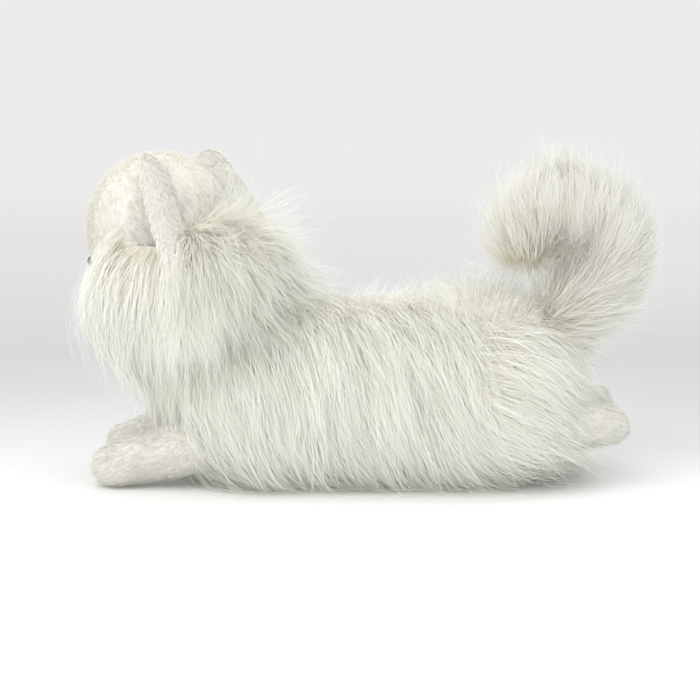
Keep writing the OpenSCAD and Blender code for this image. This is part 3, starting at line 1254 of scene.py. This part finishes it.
@dataclass
class Head:
    """The head: stuffing, short-haired crown, long-haired ruff in two halves, muzzle and chin."""

    kit: Kit
    crown_centre: tuple[float, float, float] = (-0.015, 0.0, 0.035)
    fill_radius: float = 0.048
    crown_radius: float = 0.0545
    face_line: float = 0.046
    fan: tuple[float, float, float] = (0.008, 0.0, 0.038)
    ruff_radius: float = 0.058
    neck_length: float = 0.065
    pocket: tuple[float, float, float] = (0.0, 0.037, 0.028)
    muzzle_start: tuple[float, float, float] = (-0.036, 0.0, -0.010)
    muzzle_end: tuple[float, float, float] = (-0.060, 0.0, -0.010)
    muzzle_radii: tuple[float, float] = (0.022, 0.016)
    muzzle_skin: float = 0.0022
    nose: tuple[float, float, float] = (-0.074, 0.0, -0.003)
    chin_half_turn: float = 70.0
    neck_radii: tuple[float, float] = (0.0255, 0.0285)
    crown_pile: Pile = Pile(length=0.0055, depth=0.0030, lift=0.40, droop=0.0, lock=0.0018, gather=0.2,
                            width=0.00030, steps=2, stray=0.02, wave=0.0002)
    cheek_pile: Pile = Pile(length=0.062, depth=0.0225, lift=0.28, droop=0.34, lock=0.0052, gather=0.56,
                            width=0.00027, steps=6, wave=0.0020, sway=0.14, stray=0.09, vary=0.25, rise=1.4)
    mane_pile: Pile = Pile(length=0.052, depth=0.034, lift=0.60, droop=0.04, lock=0.0050, gather=0.5,
                           width=0.00026, steps=6, wave=0.0020, bend=0.25, stray=0.2, sway=0.16, vary=0.25)
    muzzle_pile: Pile = Pile(length=0.0042, depth=0.0022, lift=0.4, droop=0.1, lock=0.0016, gather=0.3,
                             width=0.00034, steps=3, stray=0.0, wave=0.0002)
    crown_strands: int = 30000
    cheek_strands: int = 33000
    mane_strands: int = 9000
    muzzle_strands: int = 6500

    def ball(self, centre: Vec, radius: float, sides: int = 56) -> Shell:
        """A ball of cloth in the head.

        Args:
            centre: Its middle, in the head's axes.
            radius: Its radius.
            sides: Faces round it.

        Returns:
            Its surface, in the toy's axes.
        """
        c = np.asarray(centre, float)
        half = np.array([0, 0, radius * 0.02])
        made = tube(np.array([c - half, c + half]), np.array([radius, radius]), sides, 16)
        return Shell(self.kit.head.at(made.points), made.faces)

    def muzzle(self, less: float) -> Shell:
        """The muzzle's surface, a little inside its pile."""
        at = self.kit.head.at
        back, front = (radius - less for radius in self.muzzle_radii)
        return bar(at(self.muzzle_start), at(self.muzzle_end), back, front, rings=14, sides=56)

    def above_face(self, q: Array) -> Array:
        """How far points in the head's axes lie above the edge between crown and ruff."""
        return (q[:, 2] - q[:, 0] - self.face_line) / math.sqrt(2)

    def crown_comb(self, p: Array) -> Array:
        """Short pile lies back from the nose and down the sides."""
        q = self.kit.head.local(p)
        flow = np.column_stack([np.full(len(q), 0.8), q[:, 1] * 12, -0.35 + q[:, 2] * 2])
        return self.kit.head.way(flow)

    def ruff_comb(self, p: Array) -> Array:
        """Long fur fans out from the ears, down over the cheeks and back over the shoulders.

        Args:
            p: Where to read it.

        Returns:
            The directions.
        """
        q = self.kit.head.local(p)
        away = unit(q - np.array(self.fan))
        away[:, 0] *= np.where(away[:, 0] < 0, 0.35, 1.0)
        return self.kit.head.way(away + np.array([0.0, 0.0, -0.45]))

    def mane_comb(self, p: Array) -> Array:
        """Longer fur stands up and back from the nape.

        Args:
            p: Where to read it.

        Returns:
            The directions.
        """
        q = self.kit.head.local(p)
        away = unit(q - np.array(self.fan)) + np.outer(ease(q[:, 2], 0.0, 0.050), (0.0, 0.0, 1.0))
        away = away + np.array([0.1, 0.0, -0.35])
        return self.kit.head.way(away + 0.3 * ripple(p, 0.03, 3)[:, None] * np.array([0.0, 1.0, 0.4]))

    def in_pocket(self, q: Array) -> Array:
        """True behind the ears, where the crown's short pile runs on to the nape."""
        front, back, foot = self.pocket
        return (q[:, 0] > front) & (q[:, 0] < back) & (q[:, 2] > foot)

    def muzzle_comb(self, p: Array) -> Array:
        """Short pile lies back from the nose and outwards."""
        q = self.kit.head.local(p)
        flow = np.column_stack([np.ones(len(q)), q[:, 1] * 20, (q[:, 2] + 0.006) * 20])
        return self.kit.head.way(flow)

    def build(self) -> None:
        """Makes the head's soft pieces."""
        kit, at = self.kit, self.kit.head.at
        kit.stuffing("head_stuffing", "head", self.ball(self.crown_centre, self.fill_radius - kit.inset), 31)
        foot, ball = self.neck_ends()
        kit.stuffing("neck_stuffing", "neck", bar(foot, ball, *self.neck_radii, rings=16, sides=48), 41)
        crown = self.ball(self.crown_centre, self.crown_radius)

        def is_crown(m: Array) -> Array:
            """True where the crown shows: above the face's edge, and behind the ears."""
            q = kit.head.local(m)
            return (self.above_face(q) > -0.006) | (q[:, 2] > 0.002)
        crown_top = crown.kept(is_crown)
        kit.cover("crown_panel_cloth", "crown_panel", "head", crown_top, "short_fur", kit.plush)
        ruff = self.ball((0, 0, 0), self.ruff_radius)
        c = at(self.crown_centre)

        def is_ruff(m: Array) -> Array:
            """True on the ruff: below the crown's edge, outside the crown and not behind an ear."""
            q = kit.head.local(m)
            outside = np.linalg.norm(m - c, axis=1) > self.crown_radius - 0.001
            return (self.above_face(q) < 0.002) & outside & ~self.in_pocket(q)
        ruff_skin = ruff.kept(is_ruff)
        for side in Side:
            half = ruff_skin.kept(lambda m, side=side: kit.head.local(m)[:, 1] * side.value >= 0)
            kit.cover(f"{side.word}_ruff_panel_cloth", f"{side.word}_ruff_panel", "head", half, "long_fur",
                      kit.backing)
        self.build_muzzle()
        self.grow(crown, ruff_skin)

    def neck_ends(self) -> tuple[Array, Array]:
        """The middles of the neck's foot and of its ball.

        Returns:
            Both points, on the line that the neck turns about.
        """
        top, axis = joint_line(self.kit.frame, "neck_turn")
        return top - unit(axis) * self.neck_length, top

    def build_muzzle(self) -> None:
        """Makes the muzzle's two panels, and their short pile."""
        kit = self.kit
        skin = self.muzzle(self.muzzle_skin)

        def on_chin(m: Array) -> Array:
            """True where a face is on the lower panel."""
            q = kit.head.local(m)
            turn = np.arctan2(abs(q[:, 1]), -(q[:, 2] - self.muzzle_end[2]))
            return turn < math.radians(self.chin_half_turn)

        def in_front(m: Array) -> Array:
            """True where a face isn't inside the head."""
            return np.linalg.norm(m - kit.head.at(self.crown_centre), axis=1) > self.fill_radius
        kit.cover("muzzle_panel_cloth", "muzzle_panel", "head",
                  skin.kept(lambda m: ~on_chin(m) & in_front(m)), "short_fur", kit.plush)
        kit.cover("chin_panel_cloth", "chin_panel", "head",
                  skin.kept(lambda m: on_chin(m) & in_front(m)), "short_fur", kit.plush)
        nose = kit.head.at(self.nose)

        def bare(m: Array) -> Array:
            """No pile under the nose."""
            return ease(np.linalg.norm(m - nose, axis=1), 0.0075, 0.011) * in_front(m)
        kit.groomer.form = None
        hair = kit.groomer.grow(skin, self.muzzle_strands, self.muzzle_pile, self.muzzle_comb, bare)
        kit.pile("muzzle_pile", "head", hair, "short_fur", kit.short_pile)

    def grow(self, crown: Shell, ruff: Shell) -> None:
        """Grows the crown's short pile and the ruff's long fur.

        Args:
            crown: The crown's cloth.
            ruff: The ruff's cloth.
        """
        kit = self.kit
        eyes = [np.mean(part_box(f"{side.word}_eye"), axis=0) for side in Side]

        def on_crown(m: Array) -> Array:
            """Where short pile stands: above the ruff's edge, and not under the eyes."""
            q = kit.head.local(m)
            clear = np.maximum(ease(self.above_face(q), -0.004, 0.002),
                               ease(q[:, 0], -0.004, 0.002) * ease(q[:, 2], 0.004, 0.010))
            for eye in eyes:
                clear = clear * ease(np.linalg.norm(m - eye, axis=1), 0.008, 0.011)
            return clear

        def hollow(m: Array) -> Array:
            """The short pile behind the ears lies in their shade."""
            q = kit.head.local(m)
            return ease(q[:, 0], -0.006, 0.004) * (1 - ease(q[:, 2], 0.060, 0.080))
        kit.groomer.form = None
        short = kit.groomer.grow(crown, self.crown_strands, self.crown_pile, self.crown_comb, on_crown,
                                 hollow)
        kit.pile("crown_pile", "head", short, "short_fur", kit.short_pile)
        centre, neck = kit.head.at(self.crown_centre), kit.head.origin
        own = Form((neck, neck, self.ruff_radius, self.ruff_radius),
                   (centre, centre, self.crown_radius, self.crown_radius))
        kit.groomer.form = own.joined(kit.form)

        def on_cheeks(m: Array) -> Array:
            """Where the long fur hangs: everywhere on the ruff but behind the ears and beside the muzzle."""
            q = kit.head.local(m)
            near_muzzle = (q[:, 0] < -0.030) & (abs(q[:, 1]) < 0.028) & (q[:, 2] > -0.022)
            clear = np.where(self.in_pocket(q) | near_muzzle, 0.0, 1.0)
            for eye in eyes:
                clear = clear * ease(np.linalg.norm(m - eye, axis=1), 0.017, 0.023)
            return clear

        def on_nape(m: Array) -> Array:
            """Where the mane stands out behind the head."""
            q = kit.head.local(m)
            return ease(q[:, 0], 0.030, 0.038) * ease(q[:, 2], -0.030, 0.0)

        def below(m: Array) -> Array:
            """True on the crown's own sides, under the face's edge and over the ruff."""
            q = kit.head.local(m)
            outside = np.linalg.norm(q, axis=1) > self.ruff_radius
            return (self.above_face(q) < 0) & outside & (q[:, 0] < 0.012)
        sides = crown.kept(below)
        cheeks = Shell(np.vstack([ruff.points, sides.points]),
                       np.vstack([ruff.faces, sides.faces + len(ruff.points)]))
        for word, skin, count, pile, comb, place in (
                ("ruff", cheeks, self.cheek_strands, self.cheek_pile, self.ruff_comb, on_cheeks),
                ("mane", ruff, self.mane_strands, self.mane_pile, self.mane_comb, on_nape)):
            long = kit.groomer.grow(skin, count, pile, comb, place)
            y = kit.head.local(long.lines[:, 0])[:, 1]
            for side in Side:
                kit.pile(f"{side.word}_{word}_fur", "head", long.part(y * side.value >= 0), "long_fur",
                         kit.long_fur)


@dataclass
class Face:
    """Safety eyes and nose with their washers, and the stitched mouth: CAD pieces with their finishes."""

    kit: Kit

    def build(self) -> None:
        """Dresses the hard pieces that the frame carries."""
        kit = self.kit
        dress = {"left_eye": kit.black, "right_eye": kit.black, "nose": kit.black, "nose_washer": kit.clear,
                 "left_eye_washer": kit.clear, "right_eye_washer": kit.clear, "mouth_stitching": kit.thread}
        for node, material in dress.items():
            mesh = kit.frame["nodes"][node].data
            mesh.materials.clear()
            mesh.materials.append(material)
            LOG.info("%s: carried over, dressed in %s", node, material.name)


# ---------------------------------------------------------------- ears


@dataclass
class Ear:
    """One ear: a plush back and a lining, sewn together round the edge."""

    kit: Kit
    side: Side
    place: tuple[float, float, float] = (0.022, -0.035, 0.052)
    splay: float = 20.0
    lean: float = 25.0
    tip_in: float = 20.0
    circles: tuple[tuple[float, float, float], ...] = ((0.002, 0.032, 0.014), (0.004, -0.002, 0.0155),
                                                       (0.006, -0.042, 0.0125))
    thick: float = 0.0062
    cup: float = 0.004
    cloth: float = 0.0009
    back_pile: Pile = Pile(length=0.0042, depth=0.0022, lift=0.42, droop=0.1, lock=0.0024, gather=0.2,
                           width=0.00030, steps=3, stray=0.02, wave=0.0004, bend=0.3)
    lining_pile: Pile = Pile(length=0.0045, depth=0.0022, lift=0.45, droop=0.2, lock=0.002, gather=0.3,
                             width=0.00034, steps=3, stray=0.0, wave=0.0003)
    back_strands: int = 15000
    lining_strands: int = 7000

    def outline(self, count: int = 72) -> Array:
        """The line round the ear's edge, which wraps its circles.

        Args:
            count: How many points to make.

        Returns:
            Evenly spaced points, as out-and-up pairs.
        """
        angles = np.linspace(0, 2 * math.pi, 1440, endpoint=False)
        ways = np.column_stack([np.cos(angles), np.sin(angles)])
        middles = np.array([c[:2] for c in self.circles])
        radii = np.array([c[2] for c in self.circles])
        best = (ways @ middles.T + radii).argmax(axis=1)
        edge = middles[best] + ways * radii[best][:, None]
        steps = np.linalg.norm(np.diff(edge, axis=0, append=edge[:1]), axis=1)
        run = np.concatenate([[0], np.cumsum(steps)])
        edge = np.vstack([edge, edge[:1]])
        at = np.linspace(0, run[-1], count, endpoint=False)
        return np.column_stack([np.interp(at, run, edge[:, k]) for k in range(2)])

    def to_world(self, u: Array, v: Array, w: Array) -> Array:
        """Moves points from the ear's own plane to the toy's axes.

        Args:
            u: How far out each lies.
            v: How far up.
            w: How far forward.

        Returns:
            The points.
        """
        lean, splay, roll = math.radians(self.lean), math.radians(self.splay), math.radians(self.tip_in)
        x, y, z = -w, -u, v
        z, y = spun(z, y, roll)
        x, z = spun(x, z, lean)
        x, y = spun(x, y, splay)
        place = np.column_stack([x, y, z]) + np.array(self.place)
        if self.side is Side.RIGHT:
            place[:, 1] *= -1
        return self.kit.head.at(place)

    def half(self, front: bool, rings: int = 12) -> Shell:
        """One layer of the ear, domed from its edge.

        Args:
            front: True for the lining, False for the back.
            rings: Rings from the middle to the edge.

        Returns:
            Its surface, facing out.
        """
        edge = self.outline()
        count = len(edge)
        middle = edge.mean(axis=0)
        share = np.sin(np.linspace(0.04, 1, rings) * math.pi / 2)
        flat = middle + share[:, None, None] * (edge - middle)
        dome = self.thick * np.sqrt(np.clip(1 - share ** 3, 0, 1))
        high = (dome if front else -dome) - self.cup * (1 - share ** 2)
        points = self.to_world(flat[..., 0].ravel(), flat[..., 1].ravel(), np.repeat(high, count))
        grid = np.arange(rings * count).reshape(rings, count)
        after = np.roll(grid, -1, axis=1)
        faces = np.stack([grid[:-1], grid[1:], after[1:], after[:-1]], -1).reshape(-1, 4)
        tip = len(points)
        points = np.vstack([points, self.to_world(middle[:1], middle[1:], high[:1])])
        fan = np.array([[grid[0][i], grid[0][(i + 1) % count], grid[0][(i + 2) % count], tip]
                        for i in range(0, count, 2)])
        faces = np.concatenate([faces, fan])
        shell = Shell(points, faces)
        flat_middle = [self.to_world(middle[:1], middle[1:], np.array([w]))[0] for w in (0.0, 0.01)]
        _, normals = shell.corners()
        facing = (normals @ (flat_middle[1] - flat_middle[0])).sum() * (1 if front else -1)
        return shell if facing > 0 else Shell(points, faces[:, ::-1].copy())

    def build(self) -> None:
        """Makes both layers and their pile."""
        kit, word = self.kit, self.side.word
        body = f"{word}_ear"

        def down(p: Array) -> Array:
            """Pile on an ear lies towards its tip."""
            return np.tile([0.1, 0.0, -1.0], (len(p), 1))

        for front, node, slot, pile, count, finish in (
                (False, f"{word}_ear_back", "short_fur", self.back_pile, self.back_strands, kit.ear_pile),
                (True, f"{word}_ear_lining", "ear_lining", self.lining_pile, self.lining_strands,
                 kit.short_pile)):
            shell = self.half(front)
            obj = cloth_object(f"{node}_cloth", shell, self.cloth, kit.plush)
            fitted(obj, body, slot, node)
            kit.groomer.form = None
            hair = kit.groomer.grow(shell, count, pile, down)
            kit.pile(f"{node}_pile", body, hair, slot, finish)


# ---------------------------------------------------------------- legs


@dataclass
class Leg:
    """One stuffed leg in short pile, sewn to the torso at its thick end."""

    kit: Kit
    side: Side
    fore: bool
    root_radius: float = 0.024
    cloth: float = 0.0022
    fill: float = 0.0048
    pile: Pile = Pile(length=0.0065, depth=0.0030, lift=0.38, droop=0.15, lock=0.0024, gather=0.3,
                      width=0.00032, steps=3, stray=0.02, wave=0.0004)
    strands: int = 10000

    @property
    def body(self) -> str:
        """The leg's body."""
        return f"{self.side.word}_{'fore' if self.fore else 'hind'}leg"

    def ends(self) -> tuple[Array, Array, float]:
        """Places the leg from its joint.

        Returns:
            The middles of its thick and thin ends, and the radius of its foot.
        """
        root, _ = joint_line(self.kit.frame, f"{self.body}_lift")
        foot, length, ahead = (0.0165, 0.084, -1) if self.fore else (0.016, 0.077, 1)
        drop = math.asin((root[2] - foot) / length) if self.fore else math.radians(3)
        return root, root + length * np.array([ahead * math.cos(drop), 0, -math.sin(drop)]), foot

    def shape(self, less: float) -> Shell:
        """The leg's surface, that much inside its pile."""
        root, tip, foot = self.ends()
        return bar(root, tip, self.root_radius - less, foot - less, rings=22, sides=40)

    def comb(self, p: Array) -> Array:
        """Pile lies towards the foot."""
        root, tip, _ = self.ends()
        return np.tile(unit(tip - root) + np.array([0, 0, -0.25]), (len(p), 1))

    def build(self) -> None:
        """Makes the leg's stuffing, cover and pile."""
        kit = self.kit
        seed = 50 + 2 * self.fore + (self.side is Side.LEFT)
        kit.stuffing(f"{self.body}_stuffing", self.body, self.shape(self.fill), seed)
        skin = swelled(self.shape(self.cloth), 0.0008, 0.03, seed)
        skin.points[:, 2] = np.maximum(skin.points[:, 2], 0.001)
        kit.cover(f"{self.body}_cloth", f"{self.body}_cover", self.body, skin, "short_fur", kit.plush)
        kit.groomer.form = None
        hair = kit.groomer.grow(skin, self.strands, self.pile, self.comb)
        # The legs' finish is painted shade: a darker copy of the short pile.
        kit.pile(f"{self.body}_pile", self.body, hair, "short_fur", kit.leg_pile)


# ---------------------------------------------------------------- tail


@dataclass
class Tail:
    """The curled tail: a thin stuffed core with a deep plume all round."""

    kit: Kit
    curl_radius: float = 0.031
    middle: tuple[float, float] = (0.160, 0.165)
    start: float = -60.0
    stop: float = 165.0
    curl_points: int = 40
    fan_from: tuple[float, float, float] = (0.138, 0.0, 0.116)
    pile: Pile = Pile(length=0.044, depth=0.0215, lift=0.50, droop=0.0, lock=0.0046, gather=0.45,
                      width=0.00025, steps=6, stray=0.2, bend=0.25, wave=0.0016, vary=0.28, sway=0.16)
    strands: int = 31000

    def path(self) -> Array:
        """The tail's middle line.

        Returns:
            Its points, from its seam up and round its curl.
        """
        root, _ = joint_line(self.kit.frame, "tail_wag")
        angles = np.radians(np.linspace(self.start, self.stop, self.curl_points))
        arc = np.column_stack([self.middle[0] + self.curl_radius * np.cos(angles), np.zeros(len(angles)),
                               self.middle[1] + self.curl_radius * np.sin(angles)])
        a = math.radians(self.start)
        before = arc[0] - 0.014 * np.array([-math.sin(a), 0, math.cos(a)])
        t = np.linspace(0, 1, 9)[:-1, None]
        u = 1 - t
        bend = u ** 3 * root + 3 * u * u * t * (root + 0.018 * UP) + 3 * u * t * t * before + t ** 3 * arc[0]
        return np.vstack([bend, arc])

    def comb(self, p: Array) -> Array:
        """Fur fans out from the tail's root, over the curl and past it.

        Args:
            p: Where to read it.

        Returns:
            The directions.
        """
        path = self.path()
        ahead = unit(np.gradient(path, axis=0))
        near = np.linalg.norm(p[:, None] - path[None], axis=2).argmin(axis=1)
        fan = unit((p - np.array(self.fan_from)) * np.array([1, 0, 1]))
        side = np.tanh(p[:, 1] / 0.006)[:, None] * np.array([0.0, 1.0, 0.0])
        return fan + 0.25 * ahead[near] + 0.30 * side

    def build(self) -> None:
        """Makes the tail's stuffing, cover and plume."""
        kit = self.kit
        path = self.path()
        share = np.linspace(0, 1, len(path))
        radius = 0.006 + 0.0062 * np.sin(np.pi / 2 * np.minimum(1, share / 0.35))
        kit.stuffing("tail_stuffing", "tail", tube(path, radius - 0.0012, 28), 61)
        skin = tube(path, radius, 32)
        kit.cover("tail_cloth", "tail_cover", "tail", skin, "long_fur", kit.backing)
        ends, radii = path[::4], radius[::4]
        kit.groomer.form = Form(*zip(ends, ends[1:], radii, radii[1:]))
        plume = kit.groomer.grow(skin, self.strands, self.pile, self.comb)
        kit.pile("tail_plume", "tail", plume, "long_fur", kit.tail_fur)


# ---------------------------------------------------------------- studio


@dataclass
class Studio:
    """Seamless pale paper, broad soft light from the upper left, and the camera."""

    target: tuple[float, float, float] = (0.0, 0.0, 0.095)
    distance: float = 1.15
    rise: float = 10.0
    lens: float = 79.0

    def build(self) -> None:
        """Makes the floor, the lights and the camera."""
        scene = bpy.context.scene
        corners = np.array([(-1, -1, 0), (1, -1, 0), (1, 1, 0), (-1, 1, 0)]) * StudioFinish.reach
        paper = mesh_object("studio_floor", corners, np.array([[0, 1, 2, 3]]), StudioFinish().material())
        paper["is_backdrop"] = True
        world = bpy.data.worlds.new("studio_world")
        world.use_nodes = True
        world.node_tree.nodes["Background"].inputs["Color"].default_value = (0.835, 0.835, 0.84, 1)
        world.node_tree.nodes["Background"].inputs["Strength"].default_value = 1.0
        scene.world = world
        self.lamp("key_light", (-0.9, -1.0, 1.5), 1.6, 16.5, (1.0, 0.99, 0.97))
        self.lamp("top_light", (0.5, 0.4, 2.0), 2.2, 13.5, (0.98, 0.99, 1.0))
        scene.view_settings.view_transform = "Standard"
        scene.cycles.diffuse_bounces = 8
        self.camera()

    def lamp(self, name: str, place: Vec, size: float, power: float, colour: Colour) -> None:
        """Adds a large square soft light that faces the toy.

        Args:
            name: Its name.
            place: Where it hangs.
            size: Length of its side.
            power: Its power in watts.
            colour: Its colour.
        """
        data = bpy.data.lights.new(name, "AREA")
        data.size = size
        data.energy = power
        data.color = colour
        lamp = bpy.data.objects.new(name, data)
        lamp.location = place
        lamp.rotation_euler = (Vector(self.target) - Vector(place)).to_track_quat("-Z", "Y").to_euler()
        bpy.context.scene.collection.objects.link(lamp)

    def camera(self) -> None:
        """Adds the camera, in front of the toy's left side and a little above it."""
        data = bpy.data.cameras.new("camera")
        data.lens = self.lens
        camera = bpy.data.objects.new("camera", data)
        rise = math.radians(self.rise)
        way = Vector((0, -math.cos(rise), math.sin(rise)))
        camera.location = Vector(self.target) + way * self.distance
        camera.rotation_euler = (-way).to_track_quat("-Z", "Y").to_euler()
        bpy.context.scene.collection.objects.link(camera)
        bpy.context.scene.camera = camera


# ---------------------------------------------------------------- the whole toy


@dataclass
class PlushDog:
    """The whole toy, built part by part in one order."""

    frame: dict
    seed: int = 4

    def kit(self) -> Kit:
        """Makes what every part shares.
        """
        head = HeadFrame.of(self.frame)
        form = Form(((-0.070, 0, 0.060), (0.090, 0, 0.060), 0.0565, 0.0565))
        groomer = Groomer(Room.round_frame(), np.random.default_rng(self.seed))
        return Kit(
            frame=self.frame, head=head, groomer=groomer, form=form,
            long_fur=PileFinish("long_fur_strands").material(),
            short_pile=PileFinish("short_pile_strands", (0.93, 0.92, 0.87), (0.965, 0.96, 0.925)).material(),
            tail_fur=PileFinish("tail_fur_strands", (0.89, 0.84, 0.70), (0.95, 0.945, 0.90)).material(),
            ear_pile=PileFinish("ear_pile_strands", (0.92, 0.90, 0.84), (0.96, 0.955, 0.915)).material(),
            # Painted shade: the legs' pile is a darker copy of the short pile, for the shade that the paws
            # and feet lie in.
            leg_pile=PileFinish("leg_pile_strands", (0.74, 0.73, 0.68), (0.82, 0.815, 0.77)).material(),
            backing=ClothFinish("fur_backing", light=(0.90, 0.87, 0.78), dark=(0.84, 0.80, 0.70)).material(),
            plush=ClothFinish("short_plush").material(),
            fill=FibreFillFinish().material(),
            black=PlasticFinish("black_plastic_gloss", (0.012, 0.011, 0.012), 0.16, coat=1.0).material(),
            clear=PlasticFinish("washer_plastic", (0.78, 0.80, 0.78), 0.35, grain=600).material(),
            thread=ThreadFinish().material())

    def build(self) -> None:
        """Builds every part."""
        kit = self.kit()
        Torso(kit).build()
        Head(kit).build()
        Face(kit).build()
        for side in Side:
            Ear(kit, side).build()
            Leg(kit, side, fore=True).build()
            Leg(kit, side, fore=False).build()
        Tail(kit).build()


def main() -> None:
    """Loads the frame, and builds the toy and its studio."""
    logging.basicConfig(level=logging.INFO, format="%(name)s %(message)s")
    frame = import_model()
    Studio().build()
    PlushDog(frame).build()
    bpy.context.view_layer.update()


if __name__ == "__main__":
    main()
